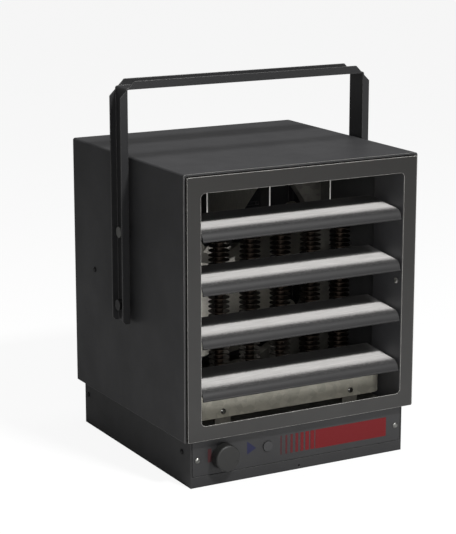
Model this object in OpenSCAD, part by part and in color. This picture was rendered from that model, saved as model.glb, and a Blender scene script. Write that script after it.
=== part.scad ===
// Garage and shop unit heater, electric: a square steel casing with four
// adjustable louvres, finned elements and a fan, over a control box, hung
// from a bent channel bracket.
// The front faces -Y, +Z is up, and the origin is on the control box's
// flat base, under the middle of the casing.

/* [Casing] */
// Width of the casing
casing_w = 330; // [324:1:340]
// Depth of the casing
casing_d = 311; // [305:1:320]
// Height of the casing above the control box
casing_h = 328; // [325:1:335]
// Thickness of the sheet steel
sheet_t = 1.2; // [1:0.1:1.5]
// Outer radius of the casing's top bends
casing_bend_r = 3; // [2:0.5:5]
// Depth of the fold along the casing's front edge
hem_d = 8; // [5:1:12]

/* [Front frame] */
// How far the frame stands in front of the casing
frame_proud = 3.7; // [2.5:0.1:5]
// Gap from the casing's side faces to the frame
frame_inset = 3; // [2.8:0.1:4]
// Drop of the frame's top edge below the casing's top
frame_drop = 3.6; // [3:0.1:5]
// Width of the frame beside the opening
frame_side = 18.4; // [17:0.2:20]
// Width of the frame above the opening
frame_head = 20; // [16:0.5:24]
// Width of the frame below the opening
frame_foot = 18.2; // [16:0.2:20]
// Corner radius of the opening
opening_r = 6; // [3:0.5:10]
// Depth of the frame's folded edges
frame_return = 18; // [12:1:20]

/* [Louvres] */
// Height of the lowest louvre's front edge above the opening's lower edge
louver_low = 31.3; // [30:0.1:33]
// Distance of the highest louvre's front edge below the opening's upper edge
louver_high = 58.4; // [57:0.1:60]
// Thickness of a louvre
blade_t = 1.5; // [1.2:0.1:2]
// Radius of a louvre's rounded nose
nose_r = 12; // [10:0.5:13]
// Rise of a louvre's flat back, in degrees
blade_rise = 5.7; // [3:0.1:7]
// Length of a louvre's flat back
back_len = 61.8; // [56:0.2:64]
// Radius of the bead along a louvre's front edge
bead_r = 1.3; // [1.1:0.1:1.5]
// How far the bead stands out from the louvre's nose
bead_out = 0.8; // [0.5:0.1:1]
// Gap between the louvre's nose and the frame's face
nose_back = 0.7; // [0.4:0.1:2]
// Distance from a louvre's nose back to its pivot
pivot_back = 38.5; // [36:0.5:40]
// Height of a louvre's pivot above its front edge
pivot_up = 8.5; // [8:0.1:9]
// Radius of a louvre's pivot pins
pivot_r = 2.5; // [2:0.1:3]
// Radius of the ear that carries a pivot pin
ear_r = 5; // [4.5:0.1:5.5]
// Gap between a louvre's end and its rail
end_gap = 2.6; // [2.4:0.1:3]
// Depth of the louvre rails
rail_d = 65; // [60:1:68]
// Width of a rail's front flange
rail_flange = 14; // [10:1:16]

/* [Elements] */
// Outer radius of the element tube
tube_r = 5.5; // [5:0.1:6]
// Outer radius of a fin
fin_r = 13.5; // [12:0.1:14]
// Thickness of a fin
fin_t = 0.6; // [0.5:0.05:0.8]
// Distance from fin to fin
fin_pitch = 6; // [5.6:0.1:6.6]
// Height of the lowest fin above the casing's floor
fin_low = 53; // [52:0.5:56]
// Distance from a shield's end to the nearest element leg
leg_edge = 30.25; // [28:0.25:33]
// Distance of an element's top below the casing's top
element_drop = 76; // [74:1:80]
// Distance of the elements behind the casing's front edge
element_set = 93.5; // [92:0.5:96]
// Depth of an element hanger plate
hanger_d = 22; // [18:1:26]
// Thickness of an element hanger plate
hanger_t = 1.6; // [1.2:0.1:2]

/* [Heat shield] */
// Gap between a shield's end and the louvre rail beside it
shield_gap = 1.8; // [1:0.1:4]
// Distance of the shield's front behind the casing's front edge
shield_set = 34.5; // [33:0.5:38]
// Depth of the shield, front to back
shield_d = 106; // [100:1:110]
// Height of the shield's top above the casing's floor
shield_top = 42; // [40:0.5:43]
// Height of the shield's front edge above the casing's floor
shield_low = 12; // [8:0.5:14]
// Corner radius of the shield
shield_r = 15; // [10:1:18]

/* [Fan and motor] */
// Distance from the casing's nearest outside to the fan's opening
orifice_edge = 22; // [21:1:26]
// Gap between the fan and its opening
fan_gap = 7; // [6:0.5:14]
// Number of fan blades
fan_n = 5; // [4:1:5]
// Pitch of the fan blades, in degrees
fan_pitch = 21; // [18:1:23]
// Radius of the fan's hub
hub_r = 15; // [13:0.5:17]
// Distance of the bulkhead in front of the casing's rear edge
bulkhead_set = 111.5; // [110:0.5:114]
// Distance of the fan behind its bulkhead
fan_back = 20; // [19:0.5:21]
// Distance of the motor strap behind the fan
strap_back = 18; // [17.5:0.5:20]
// Width of the motor strap
strap_w = 32; // [28:1:36]
// Radius of the motor
motor_r = 41; // [38:1:44]
// Length of the motor
motor_len = 56; // [50:1:58]
// Radius of the motor's shaft
shaft_r = 4; // [3.5:0.1:4.5]

/* [Rear vents] */
// Distance from the fan's opening in to the edge of the vents
vent_edge = 14; // [8:1:20]
// Distance from one row of vents to the next
vent_pitch = 17; // [15:0.5:20]
// How far a vent's hood stands out
vent_out = 8; // [6:0.5:9]
// Straight length of a hood below its bend
vent_skirt = 2; // [1:0.5:3]
// How far a hood reaches below its slot
vent_lap = 3; // [2:0.5:4]
// Width of the plain strip down the middle of the vents
vent_rib = 18; // [12:1:24]

/* [Control box] */
// Height of the control box
box_h = 62; // [60:0.5:66]
// Inset of the control box from the casing's sides
box_inset = 11.3; // [10:0.1:12]
// Setback of the control box behind the casing's front edge
box_back = 6.3; // [5:0.1:8]
// Height of the box's front lip
lip_h = 13.5; // [12:0.5:16]
// Gap round the control panel
panel_gap = 0.7; // [0.5:0.1:1]
// Distance of the knob from the box's left side
knob_side = 44.7; // [42:0.1:48]
// Distance of the knob below the panel's middle
knob_drop = 2.25; // [0.5:0.25:3]
// Radius of the knob
knob_r = 16.75; // [15:0.25:17.5]
// Depth of the knob
knob_d = 13; // [12:0.5:15]
// Distance from the knob to the reset button
button_pitch = 63.2; // [60:0.1:66]
// Distance of the reset button below the panel's middle
button_drop = 0.35; // [0:0.05:2]
// Radius of the reset button
button_r = 6.4; // [5.5:0.1:7]
// How far the reset button stands out
button_out = 1.4; // [0.8:0.1:3]
// Radius of the wiring knockout
knockout_r = 11.1; // [10:0.1:12]

/* [Bracket] */
// Gap between the casing's side and a bracket arm
arm_gap = 5; // [4.5:0.1:5.5]
// Thickness of the bracket
bracket_t = 2; // [1.8:0.1:2.2]
// Width of the bracket, front to back
bracket_w = 31; // [28:1:34]
// Width of the bracket's flanges
bracket_flange = 10; // [8:0.5:11]
// Distance of the bracket in front of the casing's middle
bracket_y = 4.7; // [3:0.1:6]
// Height of the bracket's pivot above the casing's floor
pivot_h = 233; // [230:1:234]
// Height of the bracket's crossbar above the pivot
bar_up = 178.8; // [177:0.2:182]
// Length of a bracket arm below the pivot
arm_down = 115; // [110:1:120]
// Distance of the clamp screws below the pivot
clamp_down = 93; // [88:1:96]
// Radius of the pivot bolt's shoulder
bolt_r = 4; // [3.5:0.1:4.5]
// Distance between the fixing holes in the crossbar
fixing_pitch = 203.2; // [180:0.2:220]
// Radius of the fixing holes
fixing_r = 4.4; // [4:0.1:5]

/* [Hidden] */
$fn = 48;

// Clearances
fit_gap = 0.05;
hole_gap = 0.2;
slip_gap = 0.3;

// Casing
x_out = casing_w / 2;
x_in = x_out - sheet_t;
y_front = -casing_d / 2;
y_rear = casing_d / 2;
z_floor = box_h;
z_top = box_h + casing_h;
z_fan = box_h + casing_h / 2;
pan_top = z_floor + sheet_t;

// Front frame
frame_y = y_front - frame_proud;
frame_back = frame_y + sheet_t;
frame_x = x_out - frame_inset;
frame_top = z_top - frame_drop;
open_x = frame_x - frame_side;
open_low = z_floor + frame_foot;
open_high = frame_top - frame_head;

// Louvres and rails
rail_x = open_x - slip_gap;
blade_x = rail_x - end_gap;
tip_y = frame_y + nose_back;
louver_y = tip_y + pivot_back;
louver_n = 4;
louver_pitch = (open_high - louver_high - open_low - louver_low) / (louver_n - 1);
function louver_tip(i) = open_low + louver_low + (louver_n - i) * louver_pitch;
function louver_pivot(i) = louver_tip(i) + pivot_up;
pin_end = rail_x + 2 * sheet_t + pivot_r;
ring_t = sheet_t;
keeper_r = pivot_r + 2 * sheet_t;

// Heat shield and elements
shield_x = rail_x - shield_gap;
shield_y = y_front + shield_set;
shield_z = z_floor + shield_top;
leg_n = 6;
leg_pitch = 2 * (shield_x - leg_edge) / (leg_n - 1);
hairpin_r = leg_pitch / 2;
element_pitch = 2 * leg_pitch;
element_y = y_front + element_set;
hang_z = z_top - element_drop;
collar_r = tube_r + 3 * sheet_t;
collar_h = 4 * sheet_t;
tail_len = 1.6 * tube_r;
pin_len = 1.2 * tube_r;

// Fan
bulkhead_y = y_rear - bulkhead_set;
fan_y = bulkhead_y + fan_back;
strap_y = fan_y + strap_back;
orifice_r = min(casing_w, casing_h) / 2 - orifice_edge;
fan_r = orifice_r - fan_gap;
motor_y = strap_y + bracket_t;
boss_r = hub_r * 0.7;
boss_d = 3 * bracket_t;
collar_d = 8 * bracket_t;
blade_gauge = 1.2;
root_r = 1.7 * hub_r;

// Control box
box_x = x_out - box_inset;
box_y = y_front + box_back;
panel_x = box_x - sheet_t - 2 * panel_gap;
panel_low = lip_h + panel_gap;
panel_high = z_floor - panel_gap;
panel_mid = (panel_low + panel_high) / 2;
knob_x = box_x - knob_side;
knob_z = panel_mid - knob_drop;
button_x = knob_x - button_pitch;
button_z = panel_mid - button_drop;
panel_back = box_y + sheet_t;
knob_back = box_y - 2 * sheet_t;
knob_front = knob_back - knob_d;

// Bracket
hinge_z = z_floor + pivot_h;
bar_z = hinge_z + bar_up;
arm_low = hinge_z - arm_down;
clamp_z = hinge_z - clamp_down;
arm_x = x_out + arm_gap;
arm_out = arm_x + bracket_t;
bolt_head_r = 1.75 * bolt_r;
bolt_head_d = 1.3 * bolt_r;

// Small screws
screw_r = 1.9;
screw_head_r = 3.6;
screw_head_d = 1.6;
screw_len = 7;
slot_w = 0.9;
slot_d = 0.6;
overlap = 0.05;

// Turns a profile drawn in Y and Z and gives it a length along X
module along_x(length) {
  rotate([90, 0, 90])
    linear_extrude(height = length, center = true)
      children();
}

// Turns a profile drawn in X and Z and gives it a depth along +Y from y
module along_y(y, depth) {
  translate([0, y + depth, 0])
    rotate([90, 0, 0])
      linear_extrude(height = depth)
        children();
}

// A round bar along +Y from y
module rod_y(x, y, z, r, length) {
  translate([x, y, z])
    rotate([-90, 0, 0])
      cylinder(h = length, r = r);
}

// A round bar along +X from x
module rod_x(x, y, z, r, length) {
  translate([x, y, z])
    rotate([0, 90, 0])
      cylinder(h = length, r = r);
}

// A box from its low corner to its high corner
module block(low, high) {
  translate(low)
    cube(high - low);
}

// A flat rectangle with round corners, from its low corner to its high corner
module round_rect(low, high, r) {
  translate(low + [r, 0])
    square(high - low - [2 * r, 0]);
  translate(low + [0, r])
    square(high - low - [0, 2 * r]);
  for (x = [low[0] + r, high[0] - r], y = [low[1] + r, high[1] - r])
    translate([x, y])
      circle(r);
}

// A pan-head screw with a slot, its head on z = 0 and its shank below
module screw() {
  difference() {
    union() {
      cylinder(h = screw_head_d * 0.45, r = screw_head_r);
      translate([0, 0, screw_head_d * 0.45])
        cylinder(h = screw_head_d * 0.55, r1 = screw_head_r, r2 = screw_head_r * 0.62);
      translate([0, 0, -screw_len])
        cylinder(h = screw_len + overlap, r = screw_r);
    }
    translate([-screw_head_r, -slot_w / 2, screw_head_d - slot_d])
      cube([2 * screw_head_r, slot_w, 2 * slot_d]);
  }
}

// Casing

// The wrap's outline across the casing, drawn in by an inset
module wrap_profile(inset) {
  difference() {
    round_rect(
      [-x_out + inset, z_floor - casing_bend_r],
      [x_out - inset, z_top - inset],
      casing_bend_r - inset / 2);
    translate([-x_out, z_floor - 2 * casing_bend_r])
      square([casing_w, 2 * casing_bend_r]);
  }
}

// Holes across the whole casing at one place
module cross_holes(y, z, r) {
  rod_x(-arm_out - casing_w, y, z, r, 3 * casing_w);
}

side_screw_y = strap_y + bracket_t + 0.3 * strap_w;

module casing_wrap() {
  color("#303031")
    difference() {
      union() {
        along_y(y_front, casing_d)
          difference() {
            wrap_profile(0);
            wrap_profile(sheet_t);
          }
        along_y(y_front, hem_d)
          difference() {
            wrap_profile(sheet_t - overlap);
            wrap_profile(2 * sheet_t);
          }
      }
      cross_holes(-bracket_y, hinge_z, bolt_r * 0.75);
      cross_holes(side_screw_y, z_fan, screw_r);
    }
}

module front_frame() {
  color("#454443")
    difference() {
      along_y(frame_y, frame_return)
        round_rect([-frame_x, z_floor], [frame_x, frame_top], sheet_t);
      along_y(frame_back, frame_return)
        translate([-frame_x + sheet_t, z_floor - sheet_t])
          square([2 * (frame_x - sheet_t), frame_top - z_floor]);
      along_y(frame_y - sheet_t, 3 * sheet_t)
        round_rect([-open_x, open_low], [open_x, open_high], opening_r);
    }
}

pan_front_x = frame_x - 2 * sheet_t;
pan_flange = 10 * sheet_t;
stay_side = 48.5;
stay_x = shield_x - stay_side;
stay_w = 22;
stay_top = z_floor + shield_top - 6 * sheet_t;

wire_hole = [70, 24];
lead_hole_r = 8;
lead_hole_set = 37.5;

module base_pan() {
  color("#2b2b2c")
    difference() {
      pan_sheet();
      translate([0, 0, z_floor - sheet_t])
        linear_extrude(height = 3 * sheet_t) {
          translate([0, element_y])
            round_rect(-wire_hole / 2, wire_hole / 2, 3 * sheet_t);
          translate([0, y_rear - lead_hole_set])
            circle(lead_hole_r);
        }
      for (side = [-1, 1])
        rod_y(side * stay_x, shield_y, shield_screw_z, screw_r, 3 * sheet_t);
    }
}

module pan_sheet() {
  block([-pan_front_x, frame_back + frame_return, z_floor], [pan_front_x, y_rear - 2 * sheet_t, pan_top]);
  block([-pan_front_x, frame_back, z_floor], [pan_front_x, frame_back + frame_return + overlap, pan_top]);
  for (side = [-1, 1]) {
    pan_side(side, frame_back + frame_return + sheet_t, bulkhead_y - 2 * sheet_t);
    pan_side(side, bulkhead_y + 16 * sheet_t, y_rear - 2 * sheet_t);
    translate([side * stay_x, 0, 0])
      block([-stay_w / 2, shield_y + sheet_t, z_floor], [stay_w / 2, shield_y + 2 * sheet_t, stay_top]);
  }
  block(
    [-rail_x + sheet_t, frame_back, z_floor],
    [rail_x - sheet_t, frame_back + sheet_t, open_low - 2 * sheet_t]);
}

// One folded edge of the base pan, with the strip that reaches it
module pan_side(side, y0, y1) {
  mirror([side < 0 ? 1 : 0, 0, 0]) {
    block([x_in - sheet_t, y0, z_floor], [x_in, y1, z_floor + pan_flange]);
    block([pan_front_x - overlap, y0, z_floor], [x_in, y1, pan_top]);
  }
}

rear_y = y_rear - 2 * sheet_t;
rear_face = rear_y + sheet_t;
vent_r = orifice_r - vent_edge;
vent_n = floor(2 * vent_r / vent_pitch);
hood_h = vent_out + vent_skirt;

// Height of a hood's top, counted up from the lowest row
function hood_top(i) = z_fan + (i - (vent_n - 1) / 2) * vent_pitch + hood_h / 2;
// Distance from the middle to a hood's far end, where its corner meets the vents' round outline
function hood_end(i) = sqrt(pow(vent_r, 2) - pow(abs(hood_top(i) - hood_h / 2 - z_fan) + hood_h / 2, 2));

// Section of a pressed hood: a quarter round over a short skirt, from the panel's face
module hood_profile(wall, spare) {
  translate([-spare, 0]) {
    intersection() {
      translate([spare, -vent_out])
        circle(vent_out - wall);
      translate([0, -vent_out])
        square([vent_out + spare, vent_out]);
    }
    translate([0, -hood_h - (wall > 0 ? spare : 0)])
      square([vent_out - wall + spare, vent_skirt + (wall > 0 ? spare : 0)]);
  }
}

// Both hoods of one row, or the hollows under them
module hood_row(i, wall, spare) {
  length = hood_end(i) - vent_rib / 2;
  for (side = [-1, 1])
    translate([side * (vent_rib / 2 + length / 2), rear_face, hood_top(i)])
      along_x(length - 2 * wall)
        hood_profile(wall, spare);
}

// The two slots that a row's hoods cover
module slot_row(i) {
  for (side = [-1, 1])
    mirror([side < 0 ? 1 : 0, 0, 0])
      block(
        [vent_rib / 2 + sheet_t, rear_y - sheet_t, hood_top(i) - hood_h + vent_lap],
        [hood_end(i) - sheet_t, rear_face + sheet_t, hood_top(i) - 2 * sheet_t]);
}

module rear_panel() {
  color("#303031")
    difference() {
      union() {
        block([-x_in, rear_y, z_floor], [x_in, rear_face, z_top - sheet_t]);
        for (side = [-1, 1])
          mirror([side < 0 ? 1 : 0, 0, 0])
            block(
              [x_in - sheet_t, rear_y - pan_flange, z_floor + 2 * pan_flange],
              [x_in, rear_y + overlap, z_top - 2 * pan_flange]);
        for (i = [0 : vent_n - 1])
          hood_row(i, 0, overlap);
      }
      for (i = [0 : vent_n - 1]) {
        hood_row(i, sheet_t, 0);
        slot_row(i);
      }
      for (p = rear_screw_places())
        rod_y(p[0], rear_y - sheet_t, p[1], screw_r, 3 * sheet_t);
    }
}

rear_screw_in = 12 * sheet_t;
function rear_screw_places() = [
  for (x = [-1, 1], z = [z_floor + rear_screw_in, z_top - rear_screw_in]) [x * (x_in - rear_screw_in), z]];

// Louvres

module louver_rail(side) {
  color("#232324")
    difference() {
      mirror([side < 0 ? 1 : 0, 0, 0])
        union() {
          block([rail_x, frame_back, pan_top], [rail_x + sheet_t, frame_back + rail_d, rail_top]);
          for (y = [frame_back, frame_back + rail_d - sheet_t])
            block([rail_x, y, pan_top], [rail_x + rail_flange, y + sheet_t, rail_top]);
        }
      for (i = [1 : louver_n])
        rod_x(rail_cut_x(side), louver_y, louver_pivot(i), pivot_r + fit_gap, 4 * sheet_t);
      rod_x(rail_cut_x(side), rail_screw_y, z_fan, screw_r, 4 * sheet_t);
    }
}

rail_top = frame_top - sheet_t;
rail_screw_y = frame_back + 10 * sheet_t;
function rail_cut_x(side) = side * (rail_x + sheet_t / 2) - 2 * sheet_t;

module louver_rail_left() { louver_rail(-1); }

module louver_rail_right() { louver_rail(1); }

// The section of a louvre, its nose at y = 0 and its front edge at z = 0
module blade_profile() {
  translate([nose_r, 0]) {
    difference() {
      rotate(blade_rise) {
        difference() {
          circle(nose_r);
          circle(nose_r - blade_t);
          translate([0, -2 * nose_r])
            square([2 * nose_r, 4 * nose_r]);
        }
        translate([0, nose_r - blade_t])
          square([back_len, blade_t]);
      }
      translate([-2 * nose_r, -2 * nose_r])
        square([3 * nose_r, 2 * nose_r]);
    }
    rotate(blade_rise)
      translate([back_len, nose_r - blade_t / 2])
        circle(blade_t * 0.7);
  }
  translate([bead_r - bead_out, 0])
    circle(bead_r);
}

// The ear under a louvre's end that carries its pin
module ear_profile() {
  translate([pivot_back, pivot_up])
    circle(ear_r);
  intersection() {
    translate([pivot_back - ear_r, pivot_up])
      square([2 * ear_r, nose_r]);
    translate([nose_r, 0])
      rotate(blade_rise)
        square([back_len, nose_r - blade_t / 2]);
  }
}

module louver(i) {
  translate([0, tip_y, louver_tip(i)]) {
    along_x(2 * blade_x)
      blade_profile();
    for (side = [-1, 1])
      translate([side * (blade_x - blade_t / 2), 0, 0])
        along_x(blade_t)
          ear_profile();
    for (side = [-1, 1])
      mirror([side < 0 ? 1 : 0, 0, 0]) {
        rod_x(blade_x - blade_t, pivot_back, pivot_up, pivot_r, pin_end - blade_x + blade_t);
        rod_x(pin_end - ring_t, pivot_back, pivot_up, keeper_r, ring_t);
      }
  }
}

module louver_1() { color("#c4c2bd") louver(1); }

module louver_2() { color("#c4c2bd") louver(2); }

module louver_3() { color("#c4c2bd") louver(3); }

module louver_4() { color("#c4c2bd") louver(4); }

// Elements

leg_top = hang_z - hairpin_r;
leg_low = shield_z - tail_len;

pin_r = 0.35 * tube_r;
fin_n = floor((leg_top - z_floor - fin_low - fin_t) / fin_pitch);
function fin_low_z(k) = z_floor + fin_low + k * fin_pitch;

// Half of an upright leg's outline, with its fins and its collar
function leg_outline() = concat(
  [[0, leg_low - pin_len], [pin_r, leg_low - pin_len], [pin_r, leg_low], [tube_r, leg_low]],
  [[tube_r, shield_z], [collar_r, shield_z], [collar_r, shield_z + collar_h], [tube_r, shield_z + collar_h]],
  [for (k = [0 : fin_n - 1]) each [
    [tube_r, fin_low_z(k)], [fin_r, fin_low_z(k)],
    [fin_r, fin_low_z(k) + fin_t], [tube_r, fin_low_z(k) + fin_t]]],
  [[tube_r, leg_top + overlap], [0, leg_top + overlap]]);

module element(x) {
  color("#3a2f2a")
    translate([x, element_y, 0]) {
      for (side = [-1, 1])
        translate([side * hairpin_r, 0, 0])
          rotate_extrude($fn = 32)
            polygon(leg_outline());
      translate([0, 0, leg_top])
        rotate([90, 0, 0])
          rotate_extrude(angle = 180)
            translate([hairpin_r, 0])
              circle(tube_r, $fn = 32);
    }
}

module element_left() { element(-element_pitch); }

module element_middle() { element(0); }

module element_right() { element(element_pitch); }

hanger_low = hang_z - 2 * tube_r;

module element_hangers() {
  color("#c9c8c4")
    for (x = [-1, 0, 1])
      translate([x * element_pitch, element_y, 0])
        difference() {
          union() {
            block([-hanger_t / 2, -hanger_d / 2, hanger_low], [hanger_t / 2, hanger_d / 2, z_top - sheet_t]);
            block(
              [-hanger_t / 2, -hanger_d / 2, z_top - sheet_t - hanger_t],
              [hanger_d / 2, hanger_d / 2, z_top - sheet_t]);
          }
          rod_x(-hanger_d, 0, hang_z, tube_r + hole_gap / 2, 2 * hanger_d);
        }
}

// Plan of the heat shield, drawn in by an inset
module shield_plan(inset) {
  round_rect(
    [-shield_x + inset, shield_y + inset],
    [shield_x - inset, shield_y + shield_d - inset],
    shield_r - inset);
}

module heat_shield() {
  color("#8a877e")
    difference() {
      union() {
        translate([0, 0, z_floor + shield_low])
          linear_extrude(height = shield_top - shield_low)
            shield_plan(0);
        block(
          [-shield_x + 2 * shield_r, shield_y + shield_d - sheet_t, pan_top],
          [shield_x - 2 * shield_r, shield_y + shield_d, shield_z - sheet_t]);
      }
      translate([0, 0, z_floor - sheet_t])
        linear_extrude(height = shield_top)
          shield_plan(sheet_t);
      for (x = [-element_pitch, 0, element_pitch], side = [-1, 1])
        translate([x + side * hairpin_r, element_y, z_floor])
          cylinder(h = 2 * shield_top, r = tube_r + hole_gap);
      for (side = [-1, 1])
        rod_y(side * stay_x, shield_y - sheet_t, shield_screw_z, screw_r, 3 * sheet_t);
    }
}

shield_screw_z = z_floor + 0.47 * shield_top;

sensor_r = 9;
sensor_drop = 42;
sensor_x = element_pitch + hairpin_r;

module limit_sensor() {
  color("#d8d5cc")
    translate([sensor_x, element_y, z_top - sheet_t]) {
      block([-sensor_r, -sheet_t, -sensor_drop], [sensor_r, 0, 0]);
      block([-sensor_r, -sheet_t, -sheet_t], [sensor_r, sensor_r, 0]);
      rod_y(0, -overlap, 1.2 * sensor_r - sensor_drop, 0.8 * sensor_r, sensor_r);
    }
}

// Fan

module fan_bulkhead() {
  color("#5b5a57")
    difference() {
      union() {
        block([-x_in, bulkhead_y, pan_top], [x_in, bulkhead_y + sheet_t, z_top - sheet_t]);
        for (side = [-1, 1])
          mirror([side < 0 ? 1 : 0, 0, 0])
            block(
              [x_in - sheet_t, bulkhead_y, z_floor + 2 * pan_flange],
              [x_in, bulkhead_y + pan_flange, z_top - 2 * pan_flange]);
        rod_y(0, bulkhead_y, z_fan, orifice_r + sheet_t, collar_d);
      }
      rod_y(0, bulkhead_y - sheet_t, z_fan, orifice_r, collar_d + 2 * sheet_t);
    }
}

module motor_strap() {
  color("#b7b6b1")
    difference() {
      union() {
        block([-x_in, strap_y, z_fan - strap_w / 2], [x_in, strap_y + bracket_t, z_fan + strap_w / 2]);
        for (side = [-1, 1])
          mirror([side < 0 ? 1 : 0, 0, 0])
            block(
              [x_in - bracket_t, strap_y, z_fan - strap_w / 2],
              [x_in, strap_y + bracket_t + strap_foot, z_fan + strap_w / 2]);
      }
      rod_y(0, strap_y - bracket_t, z_fan, boss_r + hole_gap, 3 * bracket_t);
      for (side = [-1, 1])
        rod_y(side * stud_x, strap_y - bracket_t, z_fan, stud_r, 3 * bracket_t);
      cross_holes(side_screw_y, z_fan, screw_r);
    }
}

strap_foot = 0.6 * strap_w;
stud_x = 0.68 * motor_r;
stud_r = 2;
stud_nut_r = 4;
stud_nut_d = 3;
stud_end = strap_y - stud_nut_d - stud_r;

module fan_motor() {
  color("#3b3c3e")
    difference() {
      union() {
        rod_y(0, motor_y, z_fan, motor_r * 0.93, motor_len);
        rod_y(0, motor_y + 0.12 * motor_len, z_fan, motor_r, 0.7 * motor_len);
        rod_y(0, motor_y + motor_len - overlap, z_fan, motor_r * 0.4, 0.12 * motor_len);
        rod_y(0, motor_y - boss_d, z_fan, boss_r, boss_d + overlap);
        for (side = [-1, 1]) {
          rod_y(side * stud_x, stud_end, z_fan, stud_r, motor_y - stud_end + overlap);
          rod_y(side * stud_x, strap_y - stud_nut_d, z_fan, stud_nut_r, stud_nut_d);
        }
      }
      rod_y(0, motor_y - boss_d - sheet_t, z_fan, shaft_r + fit_gap, 0.6 * motor_len + boss_d);
    }
}

hub_d = 12;
shaft_front = fan_y - hub_d;

module motor_shaft() {
  color("#b9bcc0")
    rod_y(0, shaft_front, z_fan, shaft_r, motor_y + 0.5 * motor_len - shaft_front);
}

module fan_hub() {
  color("#9fa2a5")
    difference() {
      union() {
        rod_y(0, fan_y - hub_d * 0.75, z_fan, hub_r * 0.7, hub_d * 0.75 + overlap);
        rod_y(0, fan_y, z_fan, hub_r * 1.5, 2 * blade_gauge);
      }
      rod_y(0, fan_y - hub_d, z_fan, shaft_r, 2 * hub_d);
    }
}

// Points along an arc, from one angle to another
function arc(c, r, a0, a1, n) = [
  for (k = [0 : n]) let (a = a0 + (a1 - a0) * k / n) c + r * [cos(a), sin(a)]];

tip_arc = 26;
corner_arc = 100;
corner_n = 8;
tip_corner = 0.11 * fan_r;
tip_x = fan_r * cos(tip_arc) - 1.15 * tip_corner;
tip_y_off = fan_r * sin(tip_arc) - 0.75 * tip_corner;

// Outline of a fan blade, its root at the hub and its tip on the fan's rim
function blade_outline() = concat(
  [[0.6 * hub_r, -0.55 * hub_r]],
  [[root_r, -0.75 * hub_r]],
  arc([tip_x, -tip_y_off], tip_corner, -corner_arc, -tip_arc, corner_n),
  arc([0, 0], fan_r, -tip_arc + 6, tip_arc - 6, 12),
  arc([tip_x, tip_y_off], tip_corner, tip_arc, corner_arc, corner_n),
  [[root_r, 0.75 * hub_r]],
  [[0.6 * hub_r, 0.55 * hub_r]]);

camber_r = 1.6 * fan_r;

module fan_blade() {
  rotate([fan_pitch, 0, 0])
    intersection() {
      translate([0, 0, -fan_r / 2])
        linear_extrude(height = fan_r)
          polygon(blade_outline());
      translate([0, 0, camber_r])
        rotate([0, 90, 0])
          difference() {
            cylinder(h = 1.1 * fan_r, r = camber_r, $fn = 96);
            translate([0, 0, -fan_r / 2])
              cylinder(h = 2 * fan_r, r = camber_r - blade_gauge, $fn = 96);
          }
    }
}

fan_turn = 12;

module fan_blades() {
  color("#cfd1d2")
    difference() {
      translate([0, fan_y - blade_gauge, z_fan])
        rotate([90, 0, 0]) {
          for (k = [0 : fan_n - 1])
            rotate([0, 0, fan_turn + k * 360 / fan_n])
              fan_blade();
          translate([0, 0, -blade_gauge])
            cylinder(h = blade_gauge, r = root_r);
        }
      rod_y(0, fan_y - fan_r, z_fan, hub_r * 0.7 + overlap, 2 * fan_r);
      rod_y(0, fan_y, z_fan, hub_r * 1.5 + overlap, fan_r);
    }
}

// Control box

tab_w = 14;

module control_box() {
  color("#262627")
    difference() {
      block([-box_x, box_y, 0], [box_x, y_rear, z_floor]);
      block([-box_x + sheet_t, panel_back, sheet_t], [box_x - sheet_t, y_rear - sheet_t, z_floor + sheet_t]);
      block(
        [-box_x + sheet_t, box_y - sheet_t, lip_h],
        [box_x - sheet_t, panel_back + sheet_t, z_floor + sheet_t]);
      rod_y(knockout_x, y_rear - 2 * sheet_t, box_h / 2, knockout_r, 4 * sheet_t);
      rod_y(0, box_y - sheet_t, lip_hole_z, lip_hole_r, 3 * sheet_t);
      cross_holes(box_screw_front, box_screw_z, screw_r);
      cross_holes(box_screw_rear, box_screw_z, screw_r);
    }
  color("#262627")
    for (side = [-1, 1])
      mirror([side < 0 ? 1 : 0, 0, 0])
        difference() {
          block(
            [box_x - sheet_t - tab_w, panel_back, lip_h - 3 * sheet_t],
            [box_x - sheet_t + overlap, panel_back + sheet_t, z_floor - sheet_t]);
          rod_y(panel_screw_x, box_y, panel_screw_z, screw_r, 3 * sheet_t);
        }
}

knockout_side = 57.7;
knockout_x = box_x - knockout_side;
lip_hole_z = 4.3;
lip_hole_r = 1.4;
box_screw_set = 23;
box_screw_back = 10;
box_screw_drop = 21;
box_screw_front = box_y + box_screw_set;
box_screw_rear = y_rear - box_screw_back;
box_screw_z = box_h - box_screw_drop;
panel_screw_in = 9.5;
panel_screw_rise = 3.25;
panel_screw_x = box_x - panel_screw_in;
panel_screw_z = panel_mid - panel_screw_rise;

module control_panel() {
  color("#3f3f40")
    difference() {
      along_y(box_y, sheet_t)
        round_rect([-panel_x, panel_low], [panel_x, panel_high], sheet_t);
      rod_y(-knob_x, box_y - sheet_t, knob_z, neck_r + hole_gap, 3 * sheet_t);
      rod_y(-button_x, box_y - sheet_t, button_z, button_r + slip_gap, 3 * sheet_t);
      for (side = [-1, 1])
        rod_y(side * panel_screw_x, box_y - sheet_t, panel_screw_z, screw_r, 3 * sheet_t);
    }
}

neck_r = 4.8;
knob_shaft_r = 3;
stat_w = 44;
stat_h = 34;
stat_d = 30;

module thermostat() {
  color("#cfc8b4")
    difference() {
      union() {
        block(
          [-knob_x - stat_w / 2, panel_back, knob_z - stat_h / 2],
          [-knob_x + stat_w / 2, panel_back + stat_d, knob_z + stat_h / 2]);
        rod_y(-knob_x, box_y - sheet_t, knob_z, neck_r, 2 * sheet_t + overlap);
        rod_y(-knob_x, box_y - sheet_t, knob_z, 1.5 * neck_r, sheet_t);
      }
      rod_y(-knob_x, box_y - 2 * sheet_t, knob_z, knob_shaft_r + fit_gap, 0.6 * stat_d);
    }
}

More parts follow.
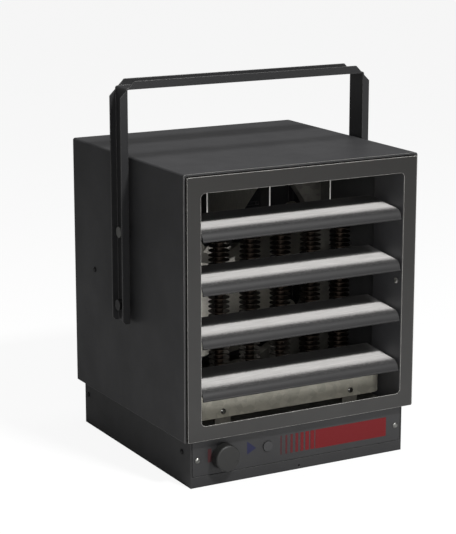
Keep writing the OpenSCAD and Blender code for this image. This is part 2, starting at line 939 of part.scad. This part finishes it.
module knob_shaft() {
  color("#b9bcc0")
    rod_y(-knob_x, knob_front + 3 * sheet_t, knob_z, knob_shaft_r, knob_d + 0.3 * stat_d);
}

// Half of the knob's outline, its back at z = 0
function knob_outline() = concat(
  [[knob_shaft_r, sheet_t], [2 * neck_r, sheet_t], [2 * neck_r, 0], [knob_r, 0]],
  arc([knob_r - 0.16 * knob_r, knob_d - 0.16 * knob_r], 0.16 * knob_r, 0, 90, 6),
  [[0, knob_d], [0, knob_d - 3 * sheet_t], [knob_shaft_r, knob_d - 3 * sheet_t]]);

mark_angle = -20;

module control_knob() {
  color("#2f2f2d")
    translate([-knob_x, knob_back, knob_z])
      rotate([90, 0, 0])
        difference() {
          rotate_extrude($fn = 64)
            polygon(knob_outline());
          rotate([0, 0, mark_angle])
            translate([0.62 * knob_r, -slot_w / 2, knob_d - slot_d])
              cube([0.22 * knob_r, slot_w, 2 * slot_d]);
        }
}

switch_w = 24;
switch_h = 22;
switch_d = 26;
button_travel = 2;

module limit_switch() {
  color("#33302c")
    difference() {
      block(
        [-button_x - switch_w / 2, panel_back, button_z - switch_h / 2],
        [-button_x + switch_w / 2, panel_back + switch_d, button_z + switch_h / 2]);
      rod_y(-button_x, panel_back - sheet_t, button_z, button_r + slip_gap, button_travel + 3 * sheet_t);
      rod_y(-button_x, panel_back - sheet_t, button_z, knob_shaft_r + fit_gap, 0.7 * switch_d);
    }
}

module reset_button() {
  color("#3a3a3b")
    union() {
      rod_y(-button_x, box_y - button_out, button_z, button_r, button_out + 2 * sheet_t);
      rod_y(-button_x, panel_back, button_z, knob_shaft_r, 0.5 * switch_d);
    }
}

contactor_size = [46, 62, 44.8];
contactor_base = [34, 78, 12.8];
contactor_side = 70.7;
contactor_back = 84.5;

module contactor() {
  color("#2d2d2f")
    translate([box_x - contactor_side, y_rear - contactor_back, sheet_t]) {
      block([-contactor_size[0] / 2, -contactor_size[1] / 2, 0],
        [contactor_size[0] / 2, contactor_size[1] / 2, contactor_size[2]]);
      block([-contactor_base[0] / 2, -contactor_base[1] / 2, 0],
        [contactor_base[0] / 2, contactor_base[1] / 2, contactor_base[2]]);
    }
}

terminal_size = [60, 26, 22.8];
terminal_back = 46.5;
terminal_pitch = 14;
terminal_n = 4;
terminal_r = 4;
terminal_deep = 10;

module terminal_block() {
  color("#20201f")
    translate([0, y_rear - terminal_back, sheet_t])
      difference() {
        block([-terminal_size[0] / 2, -terminal_size[1] / 2, 0],
          [terminal_size[0] / 2, terminal_size[1] / 2, terminal_size[2]]);
        for (k = [0 : terminal_n - 1])
          translate([(k - (terminal_n - 1) / 2) * terminal_pitch, 0, terminal_size[2] - terminal_deep])
            cylinder(h = 2 * terminal_deep, r = terminal_r);
      }
}

// Bracket

// The bracket seen from the front: two arms and a crossbar
module bracket_profile(r_out) {
  difference() {
    round_rect([-arm_out, arm_low - 2 * bracket_flange], [arm_out, bar_z + bracket_t], r_out);
    round_rect([-arm_x, arm_low - 3 * bracket_flange], [arm_x, bar_z], r_out - bracket_t);
    translate([-2 * arm_out, arm_low - 4 * bracket_flange])
      square([4 * arm_out, 4 * bracket_flange]);
  }
}

foot_cut = 0.35 * bracket_flange;

// One flange of the bracket, open at its two mitred corners
module flange_profile() {
  polygon([
    [-arm_x, bar_z], [arm_x, bar_z],
    [arm_x - bracket_flange, bar_z + bracket_flange], [-arm_x + bracket_flange, bar_z + bracket_flange]]);
  for (side = [-1, 1])
    mirror([side < 0 ? 1 : 0, 0])
      polygon([
        [arm_x, bar_z],
        [arm_x + bracket_flange, bar_z - bracket_flange],
        [arm_x + bracket_flange, arm_low + foot_cut],
        [arm_x + bracket_flange - foot_cut, arm_low],
        [arm_x, arm_low]]);
}

module mounting_bracket() {
  color("#2b2b2b")
    difference() {
      union() {
        along_y(-bracket_y - bracket_w / 2, bracket_w)
          bracket_profile(1.5 * bracket_t);
        for (y = [-bracket_w / 2, bracket_w / 2 - bracket_t])
          along_y(-bracket_y + y, bracket_t)
            flange_profile();
      }
      cross_holes(-bracket_y, hinge_z, bolt_r + fit_gap);
      cross_holes(-bracket_y, clamp_z, clamp_r);
      for (side = [-1, 1])
        translate([side * fixing_pitch / 2, -bracket_y, bar_z - bracket_t])
          cylinder(h = 3 * bracket_t, r = fixing_r);
    }
}

module pivot_bolts() {
  color("#c9cbcd")
    for (side = [-1, 1])
      mirror([side < 0 ? 1 : 0, 0, 0]) {
        rod_x(x_out, -bracket_y, hinge_z, bolt_r, arm_out - x_out + hole_gap + overlap);
        rod_x(arm_out + hole_gap, -bracket_y, hinge_z, bolt_head_r, bolt_head_d);
        rod_x(x_in - 2 * bolt_r, -bracket_y, hinge_z, 0.75 * bolt_r, 2 * bolt_r + sheet_t + overlap);
        rod_x(x_in - 1.5 * bolt_r, -bracket_y, hinge_z, bolt_head_r, 1.5 * bolt_r);
      }
}

module pivot_spacers() {
  color("#b4b5b6")
    for (side = [-1, 1])
      mirror([side < 0 ? 1 : 0, 0, 0])
        difference() {
          rod_x(x_out, -bracket_y, hinge_z, 2.2 * bolt_r, arm_x - x_out - hole_gap);
          rod_x(x_out - sheet_t, -bracket_y, hinge_z, bolt_r, 2 * (arm_x - x_out));
        }
}

clamp_r = 3;
clamp_head_r = 7;
clamp_head_d = 8;

module clamp_screws() {
  color("#1f1f20")
    for (side = [-1, 1])
      mirror([side < 0 ? 1 : 0, 0, 0]) {
        rod_x(arm_x - overlap, -bracket_y, clamp_z, clamp_r, bracket_t + 2 * overlap);
        rod_x(arm_out, -bracket_y, clamp_z, clamp_head_r, clamp_head_d);
        rod_x(x_out + slip_gap, -bracket_y, clamp_z, 1.6 * clamp_r, arm_x - x_out - slip_gap);
      }
}

// Fasteners

module panel_screws() {
  color("#d3d3d1")
    for (side = [-1, 1])
      translate([side * panel_screw_x, box_y, panel_screw_z])
        rotate([90, side * 35, 0])
          screw();
}

module shield_screws() {
  color("#a9a8a2")
    for (side = [-1, 1])
      translate([side * stay_x, shield_y, shield_screw_z])
        rotate([90, side * 50, 0])
          screw();
}

module rail_screws() {
  color("#cfcfcd")
    for (side = [-1, 1])
      translate([side * rail_x, rail_screw_y, z_fan])
        rotate([0, -side * 90, 0])
          screw();
}

module side_screws() {
  color("#454545")
    for (side = [-1, 1])
      translate([side * x_out, side_screw_y, z_fan])
        rotate([0, side * 90, 0])
          screw();
}

module box_screws() {
  color("#3c3c3c")
    for (side = [-1, 1], y = [box_screw_front, box_screw_rear])
      translate([side * box_x, y, box_screw_z])
        rotate([0, side * 90, 0])
          screw();
}

module rear_screws() {
  color("#3c3c3c")
    for (p = rear_screw_places())
      translate([p[0], rear_y + sheet_t, p[1]])
        rotate([-90, 0, 0])
          screw();
}

casing_wrap();
front_frame();
base_pan();
rear_panel();
louver_rail_left();
louver_rail_right();
louver_1();
louver_2();
louver_3();
louver_4();
element_left();
element_middle();
element_right();
element_hangers();
heat_shield();
limit_sensor();
fan_bulkhead();
motor_strap();
fan_motor();
motor_shaft();
fan_hub();
fan_blades();
control_box();
control_panel();
thermostat();
knob_shaft();
control_knob();
limit_switch();
reset_button();
contactor();
terminal_block();
mounting_bracket();
pivot_bolts();
pivot_spacers();
clamp_screws();
panel_screws();
shield_screws();
rail_screws();
side_screws();
box_screws();
rear_screws();
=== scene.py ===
"""Looks for an electric unit heater: black powder coat, satin louvres, finned elements."""

import bmesh
import bpy
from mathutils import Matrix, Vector


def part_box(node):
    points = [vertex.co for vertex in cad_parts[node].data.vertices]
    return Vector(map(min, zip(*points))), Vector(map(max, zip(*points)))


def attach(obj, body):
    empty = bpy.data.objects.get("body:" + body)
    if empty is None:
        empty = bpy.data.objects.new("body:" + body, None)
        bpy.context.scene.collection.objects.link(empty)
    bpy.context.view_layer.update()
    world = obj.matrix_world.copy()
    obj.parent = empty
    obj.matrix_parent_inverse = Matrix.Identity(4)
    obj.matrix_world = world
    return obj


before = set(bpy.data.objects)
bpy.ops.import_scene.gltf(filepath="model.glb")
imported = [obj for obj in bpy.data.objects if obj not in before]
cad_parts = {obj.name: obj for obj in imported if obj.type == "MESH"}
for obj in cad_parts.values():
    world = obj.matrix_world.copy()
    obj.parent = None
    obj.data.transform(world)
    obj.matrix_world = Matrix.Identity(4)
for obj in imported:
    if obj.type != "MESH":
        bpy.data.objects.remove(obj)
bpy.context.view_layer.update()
MM = 0.001
PANEL_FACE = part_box("control_panel")[0][1]
INK_FILM = 0.06 * MM
# The pale steel that the coats' painted edge highlight mixes in
EDGE_GLINT_STEEL = "cfcdc8"

# Painted shade on the louvres, from nose to back: how far along, and how much bright metal shows there. The
# dark coat over the nose is painted shade, the dimmed back is a painted shadow of the louvre above, and the
# band between lets the lit metal show.
NOSE_Y = -160 * MM
BACK_Y = -100 * MM
PAINTED_SHADE_BANDS = [(0.1, 0.02), (0.17, 0.1), (0.22, 0.36), (0.29, 0.75), (0.38, 1.0), (0.69, 1.0), (0.75, 0.25),
              (0.9, 0.12)]


def linear(hex_colour):
    """An sRGB hex colour as the linear values that a shader takes."""
    out = []
    for i in (0, 2, 4):
        c = int(hex_colour[i:i + 2], 16) / 255
        out.append(c / 12.92 if c <= 0.04045 else ((c + 0.055) / 1.055) ** 2.4)
    return (*out, 1.0)


def add(tree, kind, settings=None, **links):
    """Adds a node to a tree: settings are its properties, links its sockets by name."""
    node = tree.nodes.new(kind)
    for key, value in (settings or {}).items():
        setattr(node, key, value)
    for key, value in links.items():
        index = int(key[1:]) if key[0] == "i" and key[1:].isdigit() else key.replace("_", " ")
        socket = node.inputs[index]
        if isinstance(value, bpy.types.NodeSocket):
            tree.links.new(value, socket)
        else:
            socket.default_value = value
    return node


def start(name):
    """An empty material and its tree, with Object coordinates to hand."""
    material = bpy.data.materials.new(name)
    material.use_nodes = True
    tree = material.node_tree
    tree.nodes.clear()
    place = add(tree, "ShaderNodeTexCoord").outputs["Object"]
    return material, tree, place


def close(material, tree, shader):
    """Joins the finished shader to the material's output."""
    out = add(tree, "ShaderNodeOutputMaterial")
    tree.links.new(shader.outputs[0], out.inputs["Surface"])
    return material


def ramp(tree, factor, stops):
    """A colour ramp with its stops as (place, linear colour)."""
    node = add(tree, "ShaderNodeValToRGB", Fac=factor)
    while len(node.color_ramp.elements) < len(stops):
        node.color_ramp.elements.new(0.5)
    for element, (at, colour) in zip(node.color_ramp.elements, stops):
        element.position = at
        element.color = colour
    return node.outputs["Color"]


def span(tree, value, low, high, to_low, to_high):
    """Maps a value from one range onto another."""
    return add(tree, "ShaderNodeMapRange", Value=value, From_Min=low, From_Max=high,
               To_Min=to_low, To_Max=to_high).outputs["Result"]


def powder_coat(name, dark, light, rough=0.46, grain=1.1, height=0.05, painted_edge_glint=0.12, shine=0.5):
    """Black polyester powder coat: a satin skin of fine orange peel, with a painted highlight that makes it
    paler on sharp edges.
    """
    material, tree, place = start(name)
    peel = add(tree, "ShaderNodeTexNoise", Vector=place, Scale=1 / (grain * MM), Detail=3.0,
               Roughness=0.55)
    cloud = add(tree, "ShaderNodeTexNoise", Vector=place, Scale=1 / (70 * MM), Detail=4.0, Roughness=0.6)
    coat = ramp(tree, cloud.outputs["Fac"], [(0.3, linear(dark)), (0.7, linear(light))])
    gloss = span(tree, cloud.outputs["Fac"], 0.3, 0.7, rough + 0.04, rough - 0.04)
    # Painted highlight: sharp edges are mixed towards pale steel, 0.9 mm wide here so that it shows, in place
    # of the glint of a rounded bend; the same bevel also rounds the shading normal
    soft = add(tree, "ShaderNodeBevel", {"samples": 6}, Radius=0.9 * MM)
    flat = add(tree, "ShaderNodeNewGeometry").outputs["True Normal"]
    turn = add(tree, "ShaderNodeVectorMath", {"operation": "DOT_PRODUCT"}, i0=soft.outputs["Normal"],
               i1=flat)
    edge_glint_mask = span(tree, turn.outputs["Value"], 0.97, 0.85, 0.0, painted_edge_glint)
    skin = add(tree, "ShaderNodeMix", {"data_type": "RGBA"}, i0=edge_glint_mask, i6=coat, i7=linear(EDGE_GLINT_STEEL))
    bump = add(tree, "ShaderNodeBump", Height=peel.outputs["Fac"], Strength=height, Distance=0.3 * MM,
               Normal=soft.outputs["Normal"])
    paint = add(tree, "ShaderNodeBsdfPrincipled", Base_Color=skin.outputs[2], Roughness=gloss,
                Normal=bump.outputs["Normal"], IOR=1.5, Specular_IOR_Level=shine)
    return close(material, tree, paint)


def brushed(name, dark, light, rough, line=0.5, along=(1, 40, 40), height=0.04):
    """Metal with fine scratches along one way, or an even grain, drawn coarser than real so that it shows."""
    material, tree, place = start(name)
    drawn = add(tree, "ShaderNodeMapping", Vector=place, Scale=along)
    lines = add(tree, "ShaderNodeTexNoise", Vector=drawn.outputs["Vector"],
                Scale=1 / (line * MM * max(along)), Detail=3.0, Roughness=0.6)
    cloud = add(tree, "ShaderNodeTexNoise", Vector=place, Scale=1 / (60 * MM), Detail=3.0, Roughness=0.55)
    colour = ramp(tree, lines.outputs["Fac"], [(0.25, linear(dark)), (0.75, linear(light))])
    gloss = span(tree, lines.outputs["Fac"], 0.3, 0.7, rough + 0.06, rough - 0.06)
    bump = add(tree, "ShaderNodeBump", Height=lines.outputs["Fac"], Strength=height, Distance=0.2 * MM)
    metal = add(tree, "ShaderNodeBsdfPrincipled", Base_Color=colour, Roughness=gloss, Metallic=1.0,
                Normal=bump.outputs["Normal"])
    return close(material, tree, metal)


def louver_painted_shade(name, dark, light, coat):
    """Satin aluminium sheet, brushed along the louvre, with painted shade: a black coat over its nose and a
    painted shadow over its back.
    """
    material, tree, place = start(name)
    drawn = add(tree, "ShaderNodeMapping", Vector=place, Scale=(1, 30, 30))
    lines = add(tree, "ShaderNodeTexNoise", Vector=drawn.outputs["Vector"], Scale=1 / (30 * MM), Detail=4.0,
                Roughness=0.6)
    colour = ramp(tree, lines.outputs["Fac"], [(0.3, linear(dark)), (0.7, linear(light))])
    bump = add(tree, "ShaderNodeBump", Height=lines.outputs["Fac"], Strength=0.06, Distance=0.2 * MM)
    metal = add(tree, "ShaderNodeBsdfPrincipled", Base_Color=colour, Roughness=0.5, Metallic=0.25,
                Normal=bump.outputs["Normal"])
    paint = add(tree, "ShaderNodeBsdfPrincipled", Base_Color=linear(coat), Roughness=0.6,
                Specular_IOR_Level=0.22)
    depth = add(tree, "ShaderNodeSeparateXYZ", Vector=place).outputs["Y"]
    speck = add(tree, "ShaderNodeTexNoise", Vector=place, Scale=1 / (2.5 * MM), Detail=4.0, Roughness=0.7)
    stray = span(tree, speck.outputs["Fac"], 0.3, 0.7, -2 * MM, 2 * MM)
    edge = add(tree, "ShaderNodeMath", {"operation": "ADD"}, i0=depth, i1=stray).outputs["Value"]
    # Painted shade: this mask lays the dark coat on the nose and a painted shadow on the back, with lit metal
    # between
    painted_shade_mask = ramp(tree, span(tree, edge, NOSE_Y, BACK_Y, 0.0, 1.0),
                [(at, (part, part, part, 1)) for at, part in PAINTED_SHADE_BANDS])
    return close(material, tree, add(tree, "ShaderNodeMixShader", Fac=painted_shade_mask, i1=paint.outputs[0],
                                     i2=metal.outputs[0]))


def sheared_strip(name, face, cut):
    """Hot-rolled strip: dark scale on its faces and bright metal where its front edge was sheared."""
    material, tree, place = start(name)
    cloud = add(tree, "ShaderNodeTexNoise", Vector=place, Scale=1 / (12 * MM), Detail=4.0, Roughness=0.6)
    side = add(tree, "ShaderNodeNewGeometry").outputs["True Normal"]
    front = span(tree, add(tree, "ShaderNodeSeparateXYZ", Vector=side).outputs["Y"], -0.6, -0.9, 0.0, 1.0)
    colour = ramp(tree, front, [(0.0, linear(face)), (1.0, linear(cut))])
    gloss = span(tree, cloud.outputs["Fac"], 0.3, 0.7, 0.5, 0.38)
    steel = add(tree, "ShaderNodeBsdfPrincipled", Base_Color=colour, Roughness=gloss, Metallic=0.6)
    return close(material, tree, steel)


def spangled_zinc(name, dark, light, rough=0.42):
    """Hot-dip galvanised sheet: dull zinc with flat crystals a few millimetres across."""
    material, tree, place = start(name)
    spangle = add(tree, "ShaderNodeTexVoronoi", Vector=place, Scale=1 / (7 * MM))
    tint = add(tree, "ShaderNodeSeparateColor", Color=spangle.outputs["Color"])
    colour = ramp(tree, tint.outputs["Red"], [(0.0, linear(dark)), (1.0, linear(light))])
    gloss = span(tree, tint.outputs["Green"], 0.0, 1.0, rough - 0.05, rough + 0.08)
    metal = add(tree, "ShaderNodeBsdfPrincipled", Base_Color=colour, Roughness=gloss, Metallic=0.4)
    return close(material, tree, metal)


def moulded(name, colour, rough, grain=0.6, height=0.04):
    """Moulded plastic or pressed ceramic with a fine, even grain."""
    material, tree, place = start(name)
    skin = add(tree, "ShaderNodeTexNoise", Vector=place, Scale=1 / (grain * MM), Detail=2.0, Roughness=0.5)
    gloss = span(tree, skin.outputs["Fac"], 0.3, 0.7, rough - 0.05, rough + 0.05)
    bump = add(tree, "ShaderNodeBump", Height=skin.outputs["Fac"], Strength=height, Distance=0.2 * MM)
    plastic = add(tree, "ShaderNodeBsdfPrincipled", Base_Color=linear(colour), Roughness=gloss,
                  Normal=bump.outputs["Normal"], IOR=1.46)
    return close(material, tree, plastic)


def heat_browned(name, dark, light, rough=0.38):
    """Steel darkened in clouds: sheaths and fins by heat, and screws by blackening."""
    material, tree, place = start(name)
    cloud = add(tree, "ShaderNodeTexNoise", Vector=place, Scale=1 / (18 * MM), Detail=4.0, Roughness=0.65)
    colour = ramp(tree, cloud.outputs["Fac"], [(0.3, linear(dark)), (0.7, linear(light))])
    gloss = span(tree, cloud.outputs["Fac"], 0.3, 0.7, rough + 0.1, rough - 0.05)
    metal = add(tree, "ShaderNodeBsdfPrincipled", Base_Color=colour, Roughness=gloss, Metallic=0.9)
    return close(material, tree, metal)


# painted_edge_glint sets how strongly each coat's sharp edges are painted pale as a highlight
casing_coat = powder_coat("casing_powder_coat", "2a2a2b", "303031", painted_edge_glint=0.3, shine=0.22)
frame_coat = powder_coat("frame_powder_coat", "171615", "1c1b19", rough=0.43, painted_edge_glint=0.75)
box_coat = powder_coat("box_powder_coat", "151516", "1a1a1b", rough=0.52, painted_edge_glint=0.04)
panel_coat = powder_coat("panel_powder_coat", "171718", "1c1c1d", rough=0.5, painted_edge_glint=0.04)
bracket_coat = powder_coat("bracket_powder_coat", "19191a", "202021", rough=0.4, painted_edge_glint=0.06)
inner_coat = powder_coat("inner_black_paint", "303032", "38383a", rough=0.5)
# The louvres carry painted shade on the nose and a painted shadow on the back
louver_painted_shade_metal = louver_painted_shade("louver_aluminium", "b2b0ae", "dad8d6", "151516")
strip_metal = brushed("bright_steel_strip", "a09f9b", "c8c7c3", rough=0.32, along=(40, 40, 1))
fan_metal = brushed("rolled_aluminium", "aaa79f", "cecbc2", rough=0.36, along=(30, 30, 1))
zinc_sheet = spangled_zinc("galvanised_sheet", "a5a296", "b9b6a9")
bulkhead_zinc = spangled_zinc("dull_galvanised_sheet", "5c5a55", "6c6a64")
hanger_strip = sheared_strip("hot_rolled_strip", "1c1c1c", "c8c7c3")
zinc_plate = brushed("zinc_plated_steel", "5c5c5a", "7c7c79", rough=0.34, line=0.8, along=(1, 1, 1))
fin_metal = heat_browned("heat_browned_steel", "15120f", "302720")
screw_black = heat_browned("blackened_steel", "1e1e1e", "383838", rough=0.34)
knob_plastic = moulded("knob_phenolic", "161615", 0.55)
button_plastic = moulded("button_nylon", "262627", 0.45)
pale_plastic = moulded("pale_phenolic", "c9c2ae", 0.5)
dark_plastic = moulded("dark_phenolic", "222224", 0.5)
sensor_ceramic = moulded("glazed_steatite", "dad7ce", 0.3)

# Which nodes have which finish
FINISHES = {
    casing_coat: ["casing_wrap", "rear_panel"],
    frame_coat: ["front_frame"],
    box_coat: ["control_box"],
    panel_coat: ["control_panel"],
    bracket_coat: ["mounting_bracket"],
    inner_coat: ["louver_rail_left", "louver_rail_right", "fan_motor"],
    louver_painted_shade_metal: ["louver_1", "louver_2", "louver_3", "louver_4"],
    strip_metal: ["motor_strap", "motor_shaft", "knob_shaft", "fan_hub", "rail_screws"],
    hanger_strip: ["element_hangers"],
    fan_metal: ["fan_blades"],
    zinc_sheet: ["heat_shield"],
    bulkhead_zinc: ["fan_bulkhead", "base_pan"],
    zinc_plate: ["shield_screws", "panel_screws", "pivot_bolts"],
    fin_metal: ["element_left", "element_middle", "element_right"],
    screw_black: ["side_screws", "box_screws", "rear_screws", "pivot_spacers", "clamp_screws"],
    knob_plastic: ["control_knob"],
    button_plastic: ["reset_button"],
    pale_plastic: ["thermostat"],
    dark_plastic: ["limit_switch", "contactor", "terminal_block"],
    sensor_ceramic: ["limit_sensor"],
}
for finish, names in FINISHES.items():
    for name in names:
        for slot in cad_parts[name].material_slots:
            slot.material = finish


def ink(name, faint, full):
    """Screen-printed enamel ink: a thin matt film, laid thinner towards the left of the scale."""
    material, tree, place = start(name)
    across = add(tree, "ShaderNodeSeparateXYZ", Vector=place).outputs["X"]
    laid = span(tree, across, -30 * MM, 10 * MM, 0.0, 1.0)
    mesh = add(tree, "ShaderNodeTexNoise", Vector=place, Scale=1 / (1.5 * MM), Detail=2.0, Roughness=0.5)
    tint = ramp(tree, laid, [(0.0, linear(faint)), (1.0, linear(full))])
    gloss = span(tree, mesh.outputs["Fac"], 0.3, 0.7, 0.66, 0.56)
    film = add(tree, "ShaderNodeBsdfPrincipled", Base_Color=tint, Roughness=gloss, Specular_IOR_Level=0.2)
    return close(material, tree, film)


def lay_print(name, shapes, finish):
    """Ink on the control panel: flat shapes, each given by its corners as (x, z) in mm."""
    mesh = bmesh.new()
    for corners in shapes:
        rim = [mesh.verts.new((x * MM, PANEL_FACE, z * MM)) for x, z in corners]
        drawn = bmesh.ops.extrude_face_region(mesh, geom=[mesh.faces.new(rim)])
        front = [v for v in drawn["geom"] if isinstance(v, bmesh.types.BMVert)]
        bmesh.ops.translate(mesh, vec=(0, -INK_FILM, 0), verts=front)
    bmesh.ops.recalc_face_normals(mesh, faces=mesh.faces)
    data = bpy.data.meshes.new(name)
    mesh.to_mesh(data)
    mesh.free()
    piece = bpy.data.objects.new(name, data)
    bpy.context.collection.objects.link(piece)
    data.materials.append(finish)
    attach(piece, "casing")


def strip(left, low, right, high):
    """The corners of an upright rectangle on the panel."""
    return [(left, low), (right, low), (right, high), (left, high)]


# The dial's print, in mm on the panel: stripes that grow and run into a red bar, and a blue and a red
# mark at the cold and the hot end
red_ink = ink("red_ink", "33191b", "560c10")
blue_ink = ink("blue_ink", "1b1c34", "1b1c34")
SCALE_LOW, SCALE_HIGH = 23, 47.5
FIRST_LEFT, FIRST_RIGHT = -27.2, -25.4
LEFT_STEP, RIGHT_STEP = 7.25, 7.95   # the stripes' right edges step on faster, so each is wider
stripes = [strip(FIRST_LEFT + LEFT_STEP * i, SCALE_LOW, FIRST_RIGHT + RIGHT_STEP * i, SCALE_HIGH)
           for i in range(7)]
lay_print("red_bar", [strip(23.6, 22.5, 130, 47.5)], red_ink)
lay_print("scale_stripes", stripes, red_ink)
lay_print("cold_mark", [[(-75, 31), (-62, 37.5), (-75, 48)]], blue_ink)
lay_print("hot_mark", [strip(-130, 30, -125, 47)], red_ink)


# The room: a plain pale floor, a soft light above, a key light in front and a weak one low on the left
def pale_floor():
    mesh = bmesh.new()
    bmesh.ops.create_grid(mesh, x_segments=1, y_segments=1, size=9.0)
    data = bpy.data.meshes.new("floor")
    mesh.to_mesh(data)
    mesh.free()
    floor = bpy.data.objects.new("floor", data)
    bpy.context.collection.objects.link(floor)
    material, tree, place = start("pale_floor")
    seen = add(tree, "ShaderNodeLightPath").outputs["Is Camera Ray"]
    # What the floor gives back to the object: most from close in front of it, least from its sides
    away = add(tree, "ShaderNodeVectorMath", {"operation": "DISTANCE"}, i0=place, i1=(0.15, -0.6, 0.0))
    given = span(tree, away.outputs["Value"], 0.3, 0.62, 0.82, 0.36)
    dim = add(tree, "ShaderNodeBsdfDiffuse", Color=given)
    pale = add(tree, "ShaderNodeBsdfDiffuse", Color=(0.8, 0.8, 0.8, 1.0))
    glow = add(tree, "ShaderNodeEmission", Color=(1.0, 1.0, 1.0, 1.0), Strength=1.0)
    lit = add(tree, "ShaderNodeMixShader", Fac=0.9, i1=pale.outputs[0], i2=glow.outputs[0])
    close(material, tree, add(tree, "ShaderNodeMixShader", Fac=seen, i1=dim.outputs[0], i2=lit.outputs[0]))
    data.materials.append(material)


def soft_light(name, place, aim, width, height, power):
    """A rectangular area light: places and sizes in metres, power in watts."""
    data = bpy.data.lights.new(name, "AREA")
    data.shape = "RECTANGLE"
    data.size = width
    data.size_y = height
    data.energy = power
    light = bpy.data.objects.new(name, data)
    light.location = place
    light.rotation_euler = (Vector(aim) - Vector(place)).to_track_quat("-Z", "Y").to_euler()
    bpy.context.collection.objects.link(light)
    return light


def room():
    world = bpy.data.worlds.new("room")
    world.use_nodes = True
    tree = world.node_tree
    tree.nodes.clear()
    seen = add(tree, "ShaderNodeLightPath").outputs["Is Camera Ray"]
    white = add(tree, "ShaderNodeBackground", Color=(1.0, 1.0, 1.0, 1.0), Strength=1.0)
    grey = add(tree, "ShaderNodeBackground", Color=(1.0, 1.0, 1.0, 1.0), Strength=0.2)
    mix = add(tree, "ShaderNodeMixShader", Fac=seen, i1=grey.outputs[0], i2=white.outputs[0])
    out = add(tree, "ShaderNodeOutputWorld")
    tree.links.new(mix.outputs[0], out.inputs["Surface"])
    bpy.context.scene.world = world


def viewpoint():
    """The camera where the photograph's was, as fitted to corners of the casing, its frame and the box."""
    data = bpy.data.cameras.new("camera")
    data.sensor_fit = "VERTICAL"
    data.sensor_height = 36.0
    data.lens = 124.4
    data.clip_end = 60.0
    camera = bpy.data.objects.new("camera", data)
    camera.location = (-1.1431, -2.0317, 0.7748)
    camera.rotation_euler = Vector((0.4713, 0.8521, -0.2277)).to_track_quat("-Z", "Y").to_euler()
    bpy.context.collection.objects.link(camera)
    bpy.context.scene.camera = camera


view = bpy.context.scene.view_settings
view.view_transform = "Standard"
view.look = "None"
pale_floor()
room()
soft_light("overhead", (0.0, 0.05, 1.8), (0, 0.02, 0.38), 1.4, 0.3, 14)
soft_light("key", (0.35, -1.85, 2.14), (0, -0.15, 0.25), 0.3, 0.25, 98)
soft_light("low_front", (-1.1, -2.2, 0.8), (0, 0, 0.22), 0.5, 0.5, 17)
# A very weak light behind the louvres, for the haze that lifts the photograph's darkest parts
soft_light("inside", (0, -0.085, 0.24), (0, 0.1, 0.24), 0.26, 0.26, 0.05).visible_camera = False
viewpoint()
